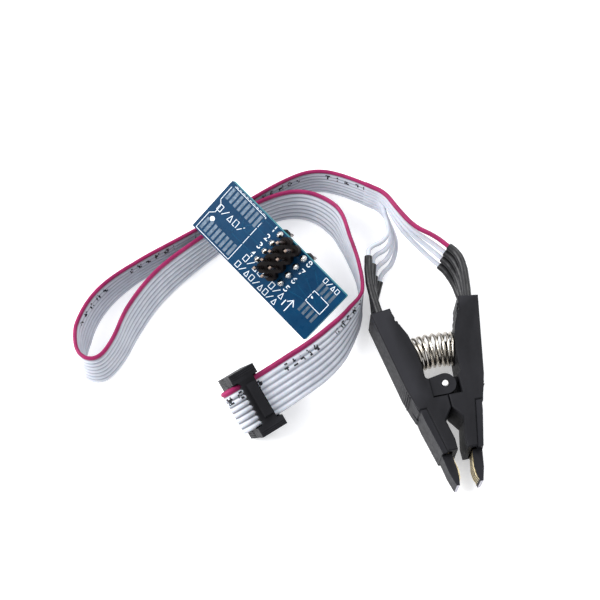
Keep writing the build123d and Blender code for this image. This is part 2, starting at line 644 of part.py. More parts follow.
def make_pins(name, level, length, grid):
    """Eight square pins with chamfered ends: lower ends at a level, on a grid of places."""
    with BuildPart() as pins:
        with BuildSketch(BOARD.offset(level)):
            with Locations(PIN_GROUP):
                with grid():
                    Rectangle(PIN_SIZE, PIN_SIZE)
        extrude(amount=length)
        ends = pins.faces().filter_by(lambda face: abs(face.normal_at().dot(BOARD.z_dir)) > 0.99)
        chamfer(ends.edges(), length=PIN_SIZE / 5)
    save(pins.part, name)


def make_solder_joints():
    with BuildPart() as joints:
        for level, way, grid in ((0, 1, leg_grid), (-BOARD_THICKNESS, -1, header_grid)):
            with BuildSketch(BOARD.offset(level)):
                with Locations(PIN_GROUP):
                    with grid():
                        Circle(SOLDER_RADIUS)
            extrude(amount=way * SOLDER_HEIGHT, taper=18)
            with BuildSketch(BOARD.offset(level)):
                with Locations(PIN_GROUP):
                    with grid():
                        Circle(SOLDER_BORE / 2)
            extrude(amount=way * SOLDER_HEIGHT, mode=Mode.SUBTRACT)
    save(joints.part, "solder_joints")


def make_pads(name, middle, per_row, size, row_offset):
    """Two rows of contact pads of a chip's footprint."""
    with BuildPart() as pads:
        with BuildSketch(BOARD):
            with Locations(middle):
                with GridLocations(CONTACT_PITCH, 2 * row_offset, per_row, 2):
                    Rectangle(*size)
        extrude(amount=PAD_THICKNESS)
    save(pads.part, name)


os.makedirs("parts", exist_ok=True)
make_lever(RIGHT, "right_lever")
make_lever(LEFT, "left_lever")
make_pivot_pin()
make_spring()
for jaw, jaw_side in (("right", RIGHT), ("left", LEFT)):
    make_carrier(jaw_side, f"{jaw}_contact_carrier")
    for row in range(CONTACTS):
        make_contact(jaw_side, row, f"{jaw}_contact_{row + 1}")
        make_sleeve(jaw_side, row, f"{jaw}_sleeve_{row + 1}")
        make_wire(jaw_side, row, f"{jaw}_wire_{row + 1}")
make_ribbon_cable()
make_ribbon_twist()
make_ribbon_fold()
make_socket_housing()
make_socket_cover()
make_strain_relief()
make_socket_contacts()
make_adapter_board()
make_strip("header_strip", 0, 0, 2)
make_strip("rear_leg_strip", -BOARD_THICKNESS - STRIP_HEIGHT, -LEG_SPACING / 2, 1)
make_strip("front_leg_strip", -BOARD_THICKNESS - STRIP_HEIGHT, LEG_SPACING / 2, 1)
PINS_LENGTH = PIN_STUB + BOARD_THICKNESS + STRIP_HEIGHT + PIN_REACH
make_pins("header_pins", -BOARD_THICKNESS - PIN_STUB, PINS_LENGTH, header_grid)
make_pins("leg_pins", -BOARD_THICKNESS - STRIP_HEIGHT - PIN_REACH, PINS_LENGTH, leg_grid)
make_solder_joints()
make_pads("wide_chip_pads", WIDE_PADS, 8, (0.76, 3.1), 4.45)
make_pads("narrow_chip_pads", NARROW_PADS, 4, (0.66, 2.4), 3.05)
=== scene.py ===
from math import cos, radians, sin, tau

import bmesh
import bpy
from mathutils import Matrix, Vector, noise


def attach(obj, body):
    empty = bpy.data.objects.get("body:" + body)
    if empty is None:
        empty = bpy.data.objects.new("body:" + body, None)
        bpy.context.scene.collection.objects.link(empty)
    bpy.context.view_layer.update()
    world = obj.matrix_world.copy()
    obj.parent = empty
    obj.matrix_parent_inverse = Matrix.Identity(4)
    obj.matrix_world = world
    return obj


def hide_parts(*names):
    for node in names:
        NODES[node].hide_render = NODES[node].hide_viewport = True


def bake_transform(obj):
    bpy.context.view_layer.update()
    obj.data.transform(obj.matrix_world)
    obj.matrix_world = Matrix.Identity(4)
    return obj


# The looks of a test-clip lead with its adapter board. Sizes are millimetres in the CAD frame, and MM turns
# them into Blender's metres. The cords' routes are in metres.
MM = 0.001

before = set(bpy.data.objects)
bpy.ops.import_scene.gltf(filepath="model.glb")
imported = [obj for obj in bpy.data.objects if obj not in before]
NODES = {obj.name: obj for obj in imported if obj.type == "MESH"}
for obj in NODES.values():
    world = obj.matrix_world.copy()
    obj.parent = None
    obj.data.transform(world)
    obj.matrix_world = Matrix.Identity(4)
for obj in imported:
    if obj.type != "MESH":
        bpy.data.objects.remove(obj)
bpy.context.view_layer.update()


# --- Frames of the three things, as in the CAD ----------------------------------------------------------
class Place:
    """Origin and axes of one of the three things."""

    def __init__(self, origin, x_dir, z_dir):
        self.origin = Vector(origin)
        self.z = Vector(z_dir).normalized()
        self.x = (Vector(x_dir) - self.z * Vector(x_dir).dot(self.z)).normalized()
        self.y = self.z.cross(self.x)

    def at(self, x, y, z):
        """A point of this frame in the row frame, in millimetres."""
        return self.origin + self.x * x + self.y * y + self.z * z

    def matrix(self, x, y, z):
        """Matrix that stands a mesh made in metres on a point of this frame."""
        turn = Matrix((self.x, self.y, self.z)).transposed().to_4x4()
        return Matrix.Translation(self.at(x, y, z) * MM) @ turn


CLIP_TURN = radians(11.3)
CLIP = Place((0, 0, 0), (cos(CLIP_TURN), sin(CLIP_TURN), 0), (0, 0, 1))
SOCKET = Place((-43.65, -2.2, 2.77), (0.830, 0.547, -0.030), (0.225, -0.291, 0.930))
BOARD = Place((-38.79, 28.2, 13.1), (0.691, -0.707, -0.152), (-0.27, -0.447, 0.853))
MIDDLE = 4.9                # half the clip's thickness

# --- Sizes that the looks share with the CAD -------------------------------------------------------------
CONDUCTORS = 8
PITCH = 1.27
RIBBON_WIDTH = CONDUCTORS * PITCH
RIBBON_THICKNESS = 0.9
WEB_THICKNESS = 0.34
WIRE_RADIUS = 0.55
SLEEVE_RADIUS = 0.95
SLEEVE_BORE = 0.6
HANDLE_END = (10.25, 19.75)  # where the contacts' tails leave a handle, in the clip's frame
TAIL_PITCH = 2.1
SPRING_HEIGHT = 9.7
SPRING_RADIUS = 3.6
SPRING_WIRE = 0.36          # radius
SPRING_TURNS = 7.5
POCKET_REACH = 4.9
UPPER_LEG = 11.9            # the ribbon's upper level at the socket, above its mating face
TIPS_END = -22.2            # just above the ends of the tips, in the clip's frame
BOARD_THICKNESS = 1.6
PIN_GROUP = (1.95, 2.12)
PIN_PITCH = 2.54
LEG_SPACING = 7.62
WIDE_PADS = (-12.25, 0.0)
NARROW_PADS = (14.75, 1.1)


# --- Routes of the cords ---------------------------------------------------------------------------------
# The ribbon's middle and, after it, how far its pink edge leans in X and Y for each millimetre up.
RIBBON_LOOP = [
    ((-0.0155, 0.0496), (0, 0)), ((-0.0219, 0.0528), (0, 0)), ((-0.0290, 0.0539), (0, 0)),
    ((-0.0365, 0.0504), (0, 0)), ((-0.0460, 0.0439), (0, 0)), ((-0.0585, 0.0360), (0, 0)),
    ((-0.0700, 0.0290), (0, 0)), ((-0.0776, 0.0220), (-0.12, 0.05)), ((-0.0811, 0.0136), (-0.2, 0.05)),
    ((-0.0808, 0.0056), (0.02, 0.2)), ((-0.0760, 0.0044), (-0.05, 0.22)),
    ((-0.0723, 0.0094), (-0.15, 0.2)), ((-0.0696, 0.0172), (-0.27, 0.2)), ((-0.0638, 0.0264), (-0.2, 0.27)),
    ((-0.0540, 0.0352), (-0.1, 0.2)), ((-0.0425, 0.0442), (0, 0.2)), ((-0.0320, 0.0480), (0.1, 0.25)),
    ((-0.0236, 0.0438), (0.25, 0.2)), ((-0.0205, 0.0360), (0.1, 0)), ((-0.0179, 0.0285), (0, 0)),
    ((-0.0173, 0.0220), (0, 0)), ((-0.0193, 0.0172), (-0.2, 0.3)),
]
# From on edge to flat: the middle and how much of the turn is done.
RIBBON_TWIST = [
    ((-0.0233, 0.0106, 0.0066), 0.62), ((-0.0279, 0.0052, 0.0092), 0.85), ((-0.0324, 0.0009, 0.0120), 0.97),
]
# The ribbon over, round and under the socket's cover: across the socket and above its mating face.
RIBBON_FOLD = [
    (0.0050, 0.0119), (0.0015, 0.0119), (-0.0015, 0.0119), (-0.00403, 0.0119), (-0.0052, 0.01073),
    (-0.0052, 0.00907), (-0.00403, 0.0079), (-0.0015, 0.0079), (0.0026, 0.0079),
]
# Each tail from its handle to the ribbon, the top one first; its sleeve ends at the third bend.
RIGHT_TAILS = [
    [(0.0060, 0.0280, 0.0081), (0.0047, 0.0320, 0.0086), (0.0024, 0.0339, 0.0089),
     (-0.00059, 0.03637, 0.00929), (-0.0052, 0.0386, 0.0095), (-0.0089, 0.0433, 0.0095),
     (-0.0117, 0.0477, 0.009525)],
    [(0.0057, 0.0274, 0.0061), (0.0040, 0.0314, 0.0068), (0.0017, 0.0333, 0.00705),
     (-0.0013, 0.03578, 0.00738), (-0.0058, 0.0387, 0.0081), (-0.0091, 0.0432, 0.0082),
     (-0.0117, 0.0477, 0.008255)],
    [(0.0054, 0.0268, 0.0041), (0.0033, 0.0307, 0.0051), (0.0012, 0.0326, 0.0053),
     (-0.00146, 0.03501, 0.00555), (-0.0063, 0.0388, 0.0068), (-0.0093, 0.0431, 0.0069),
     (-0.0117, 0.0477, 0.006985)],
    [(0.0051, 0.0260, 0.0021), (0.0026, 0.0299, 0.0034), (0.0007, 0.0316, 0.0036),
     (-0.00197, 0.03399, 0.00388), (-0.0070, 0.0389, 0.0053), (-0.0095, 0.0430, 0.0056),
     (-0.0117, 0.0477, 0.005715)],
]
LEFT_TAILS = [
    [(-0.0156, 0.0226, 0.0084), (-0.0161, 0.0274, 0.0088), (-0.0160, 0.0312, 0.0089),
     (-0.0159, 0.0335, 0.0090), (-0.0122, 0.0354, 0.0084), (-0.0109, 0.0390, 0.0070),
     (-0.0114, 0.0433, 0.0054),
     (-0.0121, 0.0479, 0.004445)],
    [(-0.0152, 0.0224, 0.0062), (-0.0153, 0.0266, 0.0067), (-0.0149, 0.0302, 0.0068),
     (-0.0146, 0.0324, 0.0069), (-0.0114, 0.0343, 0.0064), (-0.0101, 0.0382, 0.0054),
     (-0.0108, 0.0430, 0.0040),
     (-0.0121, 0.0479, 0.003175)],
    [(-0.0149, 0.0222, 0.0041), (-0.0149, 0.0252, 0.0046), (-0.0145, 0.0280, 0.0049),
     (-0.0140, 0.0303, 0.0051), (-0.0109, 0.0329, 0.0048), (-0.0095, 0.0380, 0.0039),
     (-0.0102, 0.0429, 0.0027),
     (-0.0121, 0.0479, 0.001905)],
    [(-0.0148, 0.0218, 0.0021), (-0.0140, 0.0248, 0.0025), (-0.0132, 0.0276, 0.0028),
     (-0.0126, 0.0297, 0.0030), (-0.0100, 0.0322, 0.0029), (-0.0087, 0.0376, 0.0022),
     (-0.0097, 0.0428, 0.0013),
     (-0.0121, 0.0479, 0.000635)],
]
SLEEVE_BENDS = 3


# --- Camera, lights and floor ----------------------------------------------------------------------------
def make_camera():
    data = bpy.data.cameras.new("camera")
    data.lens = 72
    data.sensor_width = 36
    camera = bpy.data.objects.new("camera", data)
    bpy.context.scene.collection.objects.link(camera)
    camera.location = (-0.031648, -0.094001, 0.253766)
    camera.rotation_euler = (radians(25), 0, 0)
    bpy.context.scene.camera = camera


def area_light(name, place, aim, size, power):
    data = bpy.data.lights.new(name, "AREA")
    data.size = size
    data.energy = power
    light = bpy.data.objects.new(name, data)
    bpy.context.scene.collection.objects.link(light)
    light.location = place
    light.rotation_euler = (Vector(aim) - Vector(place)).to_track_quat("-Z", "Y").to_euler()


def make_studio():
    scene = bpy.context.scene
    scene.view_settings.view_transform = "Standard"
    world = bpy.data.worlds.new("studio")
    world.use_nodes = True
    world.node_tree.nodes["Background"].inputs["Color"].default_value = (0.95, 0.97, 1.0, 1)
    world.node_tree.nodes["Background"].inputs["Strength"].default_value = 0.66
    scene.world = world
    middle = (-0.035, 0.02, 0.0)
    area_light("key", (-0.45, 0.0, 0.36), middle, 0.4, 4.4)
    area_light("fill", (0.25, 0.35, 0.5), middle, 0.4, 2.4)
    bpy.ops.mesh.primitive_plane_add(size=6)
    floor = bpy.context.object
    floor.name = "floor"
    floor.data.materials.append(floor_paper())


# --- Materials -------------------------------------------------------------------------------------------
class Paint:
    """A material under construction: a Principled shader and the nodes that vary it."""

    def __init__(self, name, color, roughness, metallic=0.0, **sockets):
        self.material = bpy.data.materials.new(name)
        self.material.use_nodes = True
        self.tree = self.material.node_tree
        self.shader = self.tree.nodes["Principled BSDF"]
        self.shader.inputs["Base Color"].default_value = (*color, 1)
        self.shader.inputs["Roughness"].default_value = roughness
        self.shader.inputs["Metallic"].default_value = metallic
        for socket, value in sockets.items():
            self.shader.inputs[socket.replace("_", " ")].default_value = value
        self.object_place = self.node("ShaderNodeTexCoord").outputs["Object"]

    def node(self, kind, **inputs):
        made = self.tree.nodes.new(kind)
        for name, value in inputs.items():
            self.put(made.inputs[name.replace("_", " ")], value)
        return made

    def put(self, socket, value):
        if isinstance(value, bpy.types.NodeSocket):
            self.tree.links.new(value, socket)
        else:
            socket.default_value = value

    def noise(self, scale_per_mm, detail=3, stretch=(1, 1, 1)):
        """Noise with so many cells to the millimetre, longer along an axis of small stretch."""
        scaled = self.node("ShaderNodeMapping", Vector=self.object_place, Scale=stretch)
        scale = scale_per_mm / MM
        made = self.node("ShaderNodeTexNoise", Vector=scaled.outputs[0], Scale=scale, Detail=detail)
        return made.outputs["Fac"]

    def spread(self, value, low, high, from_low=0.3, from_high=0.7):
        """The value's usual range turned into low to high."""
        made = self.node("ShaderNodeMapRange", Value=value)
        made.inputs["From Min"].default_value = from_low
        made.inputs["From Max"].default_value = from_high
        made.inputs["To Min"].default_value = low
        made.inputs["To Max"].default_value = high
        return made.outputs[0]

    def mix(self, share, first, second):
        made = self.tree.nodes.new("ShaderNodeMix")
        made.data_type = "RGBA"
        self.put(made.inputs[0], share)
        for index, color in ((6, first), (7, second)):
            self.put(made.inputs[index], color if isinstance(color, bpy.types.NodeSocket) else (*color, 1))
        return made.outputs[2]

    def math(self, operation, first, second=0.0):
        made = self.tree.nodes.new("ShaderNodeMath")
        made.operation = operation
        self.put(made.inputs[0], first)
        self.put(made.inputs[1], second)
        return made.outputs[0]

    def edges(self, low, high):
        """From 0 on flat faces to 1 on outer edges."""
        geometry = self.node("ShaderNodeNewGeometry")
        return self.spread(geometry.outputs["Pointiness"], 0, 1, low, high)

    def color(self, value):
        self.put(self.shader.inputs["Base Color"], value)

    def roughness(self, value):
        self.put(self.shader.inputs["Roughness"], value)

    def bump(self, height, depth_mm, strength=1.0):
        made = self.node("ShaderNodeBump", Height=height, Strength=strength, Distance=depth_mm * MM)
        self.put(self.shader.inputs["Normal"], made.outputs[0])


def floor_paper():
    paint = Paint("floor_paper", (0.8, 0.8, 0.81), 0.9, Emission_Color=(1, 1, 1, 1), Emission_Strength=0.42)
    paint.bump(paint.noise(0.6), 0.02, 0.2)
    return paint.material


def moulded(name, dark, light, rough_low, rough_high, grain=5.0, shine=0.09):
    """Moulded plastic: an eroded grain, faint flow marks, and polished edges."""
    paint = Paint(name, dark, rough_low, Specular_IOR_Level=shine)
    flow = paint.noise(0.25, 4, (1, 0.35, 1))
    worn = paint.edges(0.52, 0.6)
    base = paint.mix(paint.spread(flow, 0, 1), dark, light)
    paint.color(paint.mix(paint.math("MULTIPLY", worn, 0.4), base, [2.6 * c for c in light]))
    paint.roughness(paint.spread(paint.noise(1.3), rough_low, rough_high))
    paint.bump(paint.noise(grain, 2), 0.012, 0.6)
    return paint.material


def cut_plastic():
    """The sawn ends of the tips."""
    paint = Paint("cut_plastic", (0.42, 0.41, 0.45), 0.6)
    paint.color(paint.mix(paint.spread(paint.noise(2.2), 0, 1), (0.36, 0.35, 0.4), (0.55, 0.54, 0.6)))
    paint.bump(paint.noise(6, 2), 0.02)
    return paint.material


def plated(name, base, tarnished, rough_low, rough_high, grain=4.0):
    """Plated metal with a little tarnish and fine drawing marks."""
    paint = Paint(name, base, rough_low, 1.0)
    paint.color(paint.mix(paint.spread(paint.noise(0.9), 0, 1, 0.45, 0.75), base, tarnished))
    paint.roughness(paint.spread(paint.noise(2.5), rough_low, rough_high))
    paint.bump(paint.noise(grain, 2), 0.006, 0.5)
    return paint.material


def shrink_tube():
    paint = Paint("shrink_tube", (0.012, 0.012, 0.013), 0.4, Specular_IOR_Level=0.35)
    paint.color(paint.mix(paint.spread(paint.noise(0.7), 0, 1), (0.006, 0.006, 0.007), (0.018, 0.018, 0.02)))
    paint.roughness(paint.spread(paint.noise(1.6), 0.3, 0.48))
    paint.bump(paint.noise(2.2, 3), 0.04, 0.7)
    return paint.material


def cord_skin(name, base, shade, soft):
    """Soft PVC: light goes a little way in, and handling leaves faint grey marks."""
    paint = Paint(name, base, 0.38, Subsurface_Weight=soft, Subsurface_Scale=0.2 * MM,
                  Specular_IOR_Level=0.12)
    paint.color(paint.mix(paint.spread(paint.noise(0.35, 4), 0, 1, 0.35, 0.8), base, shade))
    paint.roughness(paint.spread(paint.noise(1.1), 0.32, 0.5))
    paint.bump(paint.noise(3.0, 2), 0.01, 0.5)
    return paint


PVC_WHITE = ((0.56, 0.58, 0.635), (0.47, 0.49, 0.555))
PVC_PINK = ((0.3, 0.022, 0.1), (0.2, 0.014, 0.07))


def printed_skin():
    """The ribbon's PVC: painted shade that darkens the webs between the conductors, near-black at the fold
    round the socket, and worn, unreadable print on one face.
    """
    paint = cord_skin("ribbon_pvc", *PVC_WHITE, 0.1)
    base = paint.shader.inputs["Base Color"].links[0].from_socket
    lanes = paint.node("ShaderNodeUVMap")
    lanes.uv_map = "lanes"
    lane_parts = paint.node("ShaderNodeSeparateXYZ", Vector=lanes.outputs[0])
    left, lane = lane_parts.outputs[0], lane_parts.outputs[1]
    from_middle = paint.math("ABSOLUTE", paint.math("SUBTRACT", paint.math("FRACT", lane), 0.5))
    # Painted shade: the webs between the conductors are mixed towards grey, and towards near-black within the
    # last 13.5 to 16.5 mm of the ribbon, round the fold over the socket's cover.
    web_shade_share = paint.spread(from_middle, 0.0, 0.8, 0.27, 0.46)
    fold_shade_share = paint.spread(left, 1, 0, 13.5, 16.5)
    base = paint.mix(web_shade_share, base, paint.mix(fold_shade_share, (0.2, 0.215, 0.26), (0.03, 0.03, 0.04)))
    grid = paint.node("ShaderNodeUVMap")
    grid.uv_map = "strokes"
    parts = paint.node("ShaderNodeSeparateXYZ", Vector=grid.outputs[0])
    along, across = parts.outputs[0], parts.outputs[1]
    column = paint.math("FLOOR", paint.math("MULTIPLY", along, 6.0))
    row = paint.math("FLOOR", paint.math("MULTIPLY", across, 4.0))
    cell = paint.node("ShaderNodeCombineXYZ", X=column, Y=row)
    chance = paint.node("ShaderNodeTexWhiteNoise", Vector=cell.outputs[0])
    chance.noise_dimensions = "2D"
    ink = paint.math("GREATER_THAN", chance.outputs["Value"], 0.42)
    for limit in (
        paint.math("LESS_THAN", paint.math("FRACT", along), 0.5),
        paint.math("GREATER_THAN", across, 0.0),
        paint.math("LESS_THAN", across, 1.0),
        paint.math("LESS_THAN", paint.math("FRACT", paint.math("MULTIPLY", along, 0.14)), 0.68),
        paint.math("GREATER_THAN", paint.noise(1.5, 2), 0.38),
    ):
        ink = paint.math("MULTIPLY", ink, limit)
    paint.color(paint.mix(ink, base, (0.02, 0.02, 0.025)))
    return paint.material


def lacquer(name, deep, light):
    """Blue solder lacquer: glossy, a little mottled over the weave of the board."""
    paint = Paint(name, deep, 0.25, Coat_Weight=0.03, Coat_Roughness=0.15, Specular_IOR_Level=0.05)
    paint.color(paint.mix(paint.spread(paint.noise(0.3, 4), 0, 1), deep, light))
    paint.roughness(paint.spread(paint.noise(0.8), 0.22, 0.4))
    paint.bump(paint.noise(2.0, 3), 0.008, 0.5)
    return paint.material


def glass_fibre():
    """The board's cut edge: layers of pale fibre."""
    paint = Paint("glass_fibre", (0.36, 0.42, 0.4), 0.7)
    layers = paint.noise(3.0, 2, (0.15, 0.15, 1))
    paint.color(paint.mix(paint.spread(layers, 0, 1), (0.0, 0.16, 0.22), (0.06, 0.3, 0.34)))
    paint.bump(layers, 0.03)
    return paint.material


def white_ink():
    paint = Paint("white_ink", (0.7, 0.75, 0.8), 0.55)
    worn = paint.spread(paint.noise(2.5, 3), 0, 1, 0.5, 0.8)
    paint.color(paint.mix(worn, (0.72, 0.77, 0.82), (0.42, 0.52, 0.62)))
    paint.bump(paint.noise(5, 2), 0.01)
    return paint.material


# --- Mesh helpers ----------------------------------------------------------------------------------------
def link(name, mesh, materials, smooth_angle=40):
    piece = bpy.data.objects.new(name, mesh)
    bpy.context.scene.collection.objects.link(piece)
    for material in materials:
        mesh.materials.append(material)
    mesh.shade_smooth()
    mesh.set_sharp_from_angle(angle=radians(smooth_angle))
    return piece


def from_faces(name, points, faces):
    """A mesh of points in millimetres."""
    mesh = bpy.data.meshes.new(name)
    mesh.from_pydata([tuple(Vector(p) * MM) for p in points], [], faces)
    return mesh


def route_line(points, closeness=10):
    """The smooth line that a NURBS spline makes of a route's points, all in metres."""
    curve = bpy.data.curves.new("route", "CURVE")
    curve.dimensions = "3D"
    spline = curve.splines.new("NURBS")
    spline.points.add(len(points) - 1)
    for knot, point in zip(spline.points, points):
        knot.co = (*point, 1)
    spline.order_u = 3
    spline.use_endpoint_u = True
    spline.resolution_u = closeness
    holder = bpy.data.objects.new("route", curve)
    mesh = bpy.data.meshes.new_from_object(holder)
    line = [vertex.co.copy() for vertex in mesh.vertices]
    bpy.data.objects.remove(holder)
    bpy.data.curves.remove(curve)
    bpy.data.meshes.remove(mesh)
    return line


def distances(line):
    """How far along a line each of its points is."""
    along = [0.0]
    for before, after in zip(line, line[1:]):
        along.append(along[-1] + (after - before).length)
    return along


def tangents(line):
    ways = [line[1] - line[0]]
    ways += [after - before for before, after in zip(line, line[2:])]
    ways.append(line[-1] - line[-2])
    return [way.normalized() for way in ways]


def upright_axes(line):
    """Two axes square to a line at each point, carried along it without twist."""
    ways = tangents(line)
    side = ways[0].orthogonal().normalized()
    axes = []
    for way in ways:
        side = (side - way * side.dot(way)).normalized()
        axes.append((side, way.cross(side)))
    return axes


def ring_faces(rings, count, closed_ends):
    """Quads between rings of count points, and a face on each end."""
    faces = []
    for ring in range(rings - 1):
        for i in range(count):
            j = (i + 1) % count
            low, high = ring * count, (ring + 1) * count
            faces.append((low + i, low + j, high + j, high + i))
    if closed_ends:
        faces.append(tuple(reversed(range(count))))
        faces.append(tuple(range((rings - 1) * count, rings * count)))
    return faces


def tube(name, line, radius, materials, sides=16, wobble=0.0):
    """Closed round tube about a line in metres; wobble is a share of its radius in millimetres."""
    points = []
    for place, (side, other) in zip(line, upright_axes(line)):
        for i in range(sides):
            angle = tau * i / sides
            way = side * cos(angle) + other * sin(angle)
            swell = 1 + wobble * noise.noise((place / MM + way * 2) * 0.6)
            points.append(place / MM + way * radius * swell)
    return link(name, from_faces(name, points, ring_faces(len(line), sides, True)), materials)


def lathe(mesh, matrix, profile, sides=20):
    """A round shape about a frame's Z: profile of radius and height, from its foot to its closed top."""
    start = len(mesh[0])
    for radius, height in profile:
        for i in range(sides):
            angle = tau * i / sides
            mesh[0].append(matrix @ Vector((radius * cos(angle), radius * sin(angle), height)))
    for face in ring_faces(len(profile), sides, True):
        mesh[1].append(tuple(start + i for i in face))


def block(mesh, corner_points, low, high, place):
    """A prism on an outline of a frame, between two heights."""
    start = len(mesh[0])
    count = len(corner_points)
    for height in (low, high):
        mesh[0].extend(place.at(x, y, height) for x, y in corner_points)
    mesh[1].append(tuple(start + i for i in reversed(range(count))))
    mesh[1].append(tuple(start + count + i for i in range(count)))
    for i in range(count):
        j = (i + 1) % count
        mesh[1].append((start + i, start + j, start + count + j, start + count + i))


def stroke(mesh, points, width, low, high, place):
    """A line of ink or copper: one flat bar along each run, with square ends."""
    for (x1, y1), (x2, y2) in zip(points, points[1:]):
        way = Vector((x2 - x1, y2 - y1)).normalized() * (width / 2)
        side = Vector((-way.y, way.x))
        start, end = Vector((x1, y1)) - way, Vector((x2, y2)) + way
        block(mesh, [start - side, end - side, end + side, start + side], low, high, place)


def disc(mesh, x, y, radius, low, high, place, sides=24):
    outline = [(x + radius * cos(tau * i / sides), y + radius * sin(tau * i / sides)) for i in range(sides)]
    block(mesh, outline, low, high, place)


def softened(piece, width_mm, segments=2, angle=32):
    """Rounds a piece's outer edges."""
    bevel = piece.modifiers.new("edges", "BEVEL")
    bevel.width = width_mm * MM
    bevel.segments = segments
    bevel.limit_method = "ANGLE"
    bevel.angle_limit = radians(angle)
    bevel.harden_normals = True
    return piece


def refined(node, body, material, width_mm, name=None):
    """The CAD node's own shape with rounded edges, which stands for the node."""
    shape = bmesh.new()
    shape.from_mesh(NODES[node].data)
    bmesh.ops.remove_doubles(shape, verts=shape.verts, dist=0.002 * MM)
    bmesh.ops.dissolve_limit(shape, angle_limit=radians(0.6), verts=shape.verts, edges=shape.edges)
    mesh = bpy.data.meshes.new(node)
    shape.to_mesh(mesh)
    shape.free()
    for left_over in ("custom_normal", "sharp_face", "sharp_edge"):
        if left_over in mesh.attributes:
            mesh.attributes.remove(mesh.attributes[left_over])
    mesh.materials.clear()
    piece = softened(link(name or node + "_moulding", mesh, [material]), width_mm)
    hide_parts(node)
    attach(piece, body)
    return piece


# --- Ribbon ----------------------------------------------------------------------------------------------
def ribbon_outline():
    """Half of the ribbon's section, from the last conductor to the pink one: place across, half thickness."""
    radius = RIBBON_THICKNESS / 2
    shares = ((-0.635, WEB_THICKNESS / 2), (-0.45, 0.19), (-0.36, 0.30), (-0.2, 0.41),
              (0.0, radius), (0.2, 0.41), (0.36, 0.30), (0.45, 0.19))
    outline = []
    for conductor in range(CONDUCTORS):
        middle = (conductor - (CONDUCTORS - 1) / 2) * PITCH
        for place, half in shares:
            outline.append((middle + place, half))
    outline[0] = (outline[0][0] + 0.1, 0.05)
    last = (CONDUCTORS / 2 - 0.5) * PITCH
    outline.append((last + 0.535, 0.05))
    return outline


def ribbon_route():
    """The ribbon's control points with the way that its pink edge points at each."""
    half = RIBBON_WIDTH * MM / 2
    route = [((x, y, half), Vector((lean_x, lean_y, 1))) for (x, y), (lean_x, lean_y) in RIBBON_LOOP]
    for place, share in RIBBON_TWIST:
        route.append((place, Vector((0, 0, 1)) * (1 - share) + SOCKET.y * share))
    route += [(tuple(SOCKET.at(x / MM, 0, height / MM) * MM), SOCKET.y.copy()) for x, height in RIBBON_FOLD]
    return route


def spread_along(line, route):
    """The pink edge's way at each point of the line, between those of the route's points."""
    along = distances(line)
    marks = []
    for place, way in route:
        nearest = min(range(len(line)), key=lambda i: (line[i] - Vector(place)).length)
        marks.append((along[nearest], way))
    marks[0] = (0.0, marks[0][1])
    marks[-1] = (along[-1], marks[-1][1])
    ways, mark = [], 0
    for here in along:
        while mark < len(marks) - 2 and marks[mark + 1][0] < here:
            mark += 1
        (start, first), (end, second) = marks[mark], marks[mark + 1]
        share = min(1.0, max(0.0, (here - start) / max(end - start, 1e-9)))
        ways.append(first.lerp(second, share))
    return ways


def make_ribbon():
    route = ribbon_route()
    line = route_line([place for place, _ in route], 12)
    half = ribbon_outline()
    section = half + [(across, -up) for across, up in reversed(half)]
    points, uvs = [], []
    whole = distances(line)[-1]
    for place, way, across, along in zip(line, tangents(line), spread_along(line, route), distances(line)):
        across = (across - way * across.dot(way)).normalized()
        normal = way.cross(across)
        for x, y in section:
            points.append(place / MM + across * x + normal * y)
            band = (x - 1.75) / 1.7 if y < 0 else -1.0
            uvs.append(((along / MM / 2.4, band), ((whole - along) / MM, x / PITCH + 10)))
    mesh = from_faces("ribbon", points, ring_faces(len(line), len(section), True))
    for layer, name in enumerate(("strokes", "lanes")):
        grid = mesh.uv_layers.new(name=name)
        for loop in mesh.loops:
            grid.data[loop.index].uv = uvs[loop.vertex_index][layer]
    skin = printed_skin()
    marked = cord_skin("marked_pvc", *PVC_PINK, 0.05).material
    ribbon = link("ribbon", mesh, [skin, marked], 60)
    count = len(section)
    edge = (CONDUCTORS / 2 - 1) * PITCH
    for face in mesh.polygons:
        spots = [section[i % count][0] for i in face.vertices]
        if len(face.vertices) == 4 and sum(spots) / 4 > edge:
            face.material_index = 1
    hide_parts("ribbon_cable", "ribbon_twist", "ribbon_fold")
    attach(ribbon, "root")


# --- Tails -----------------------------------------------------------------------------------------------
def handle_exit(side, index):
    """Middle of a contact's tail on a handle's end, in metres, the top contact first."""
    return CLIP.at(side * HANDLE_END[0], HANDLE_END[1], MIDDLE + (1.5 - index) * TAIL_PITCH) * MM


def make_tail(side, index, skins):
    jaw = "right" if side > 0 else "left"
    bends = RIGHT_TAILS[index] if side > 0 else LEFT_TAILS[index]
    rank = index if side > 0 else index + 4
    height = (RIBBON_WIDTH - (rank + 0.5) * PITCH) * MM
    start = handle_exit(side, index)
    line = route_line([tuple(start)] + bends + [(-0.0155, 0.0496, height), (-0.0163, 0.05, height)], 10)
    mouth = Vector(bends[SLEEVE_BENDS - 1])
    last = min(range(len(line)), key=lambda i: (line[i] - mouth).length)
    skin = skins["pink"] if rank == 0 else skins["white"]
    wire = tube(f"{jaw}_tail_{index + 1}", line, WIRE_RADIUS, [skin], 14, 0.03)
    sleeve = make_sleeve(f"{jaw}_shrink_{index + 1}", line[:last + 1], skins["sleeve"])
    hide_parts(f"{jaw}_wire_{index + 1}")
    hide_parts(f"{jaw}_sleeve_{index + 1}")
    for piece in (wire, sleeve):
        if side > 0:
            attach(piece, "root")
        else:
            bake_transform(piece)


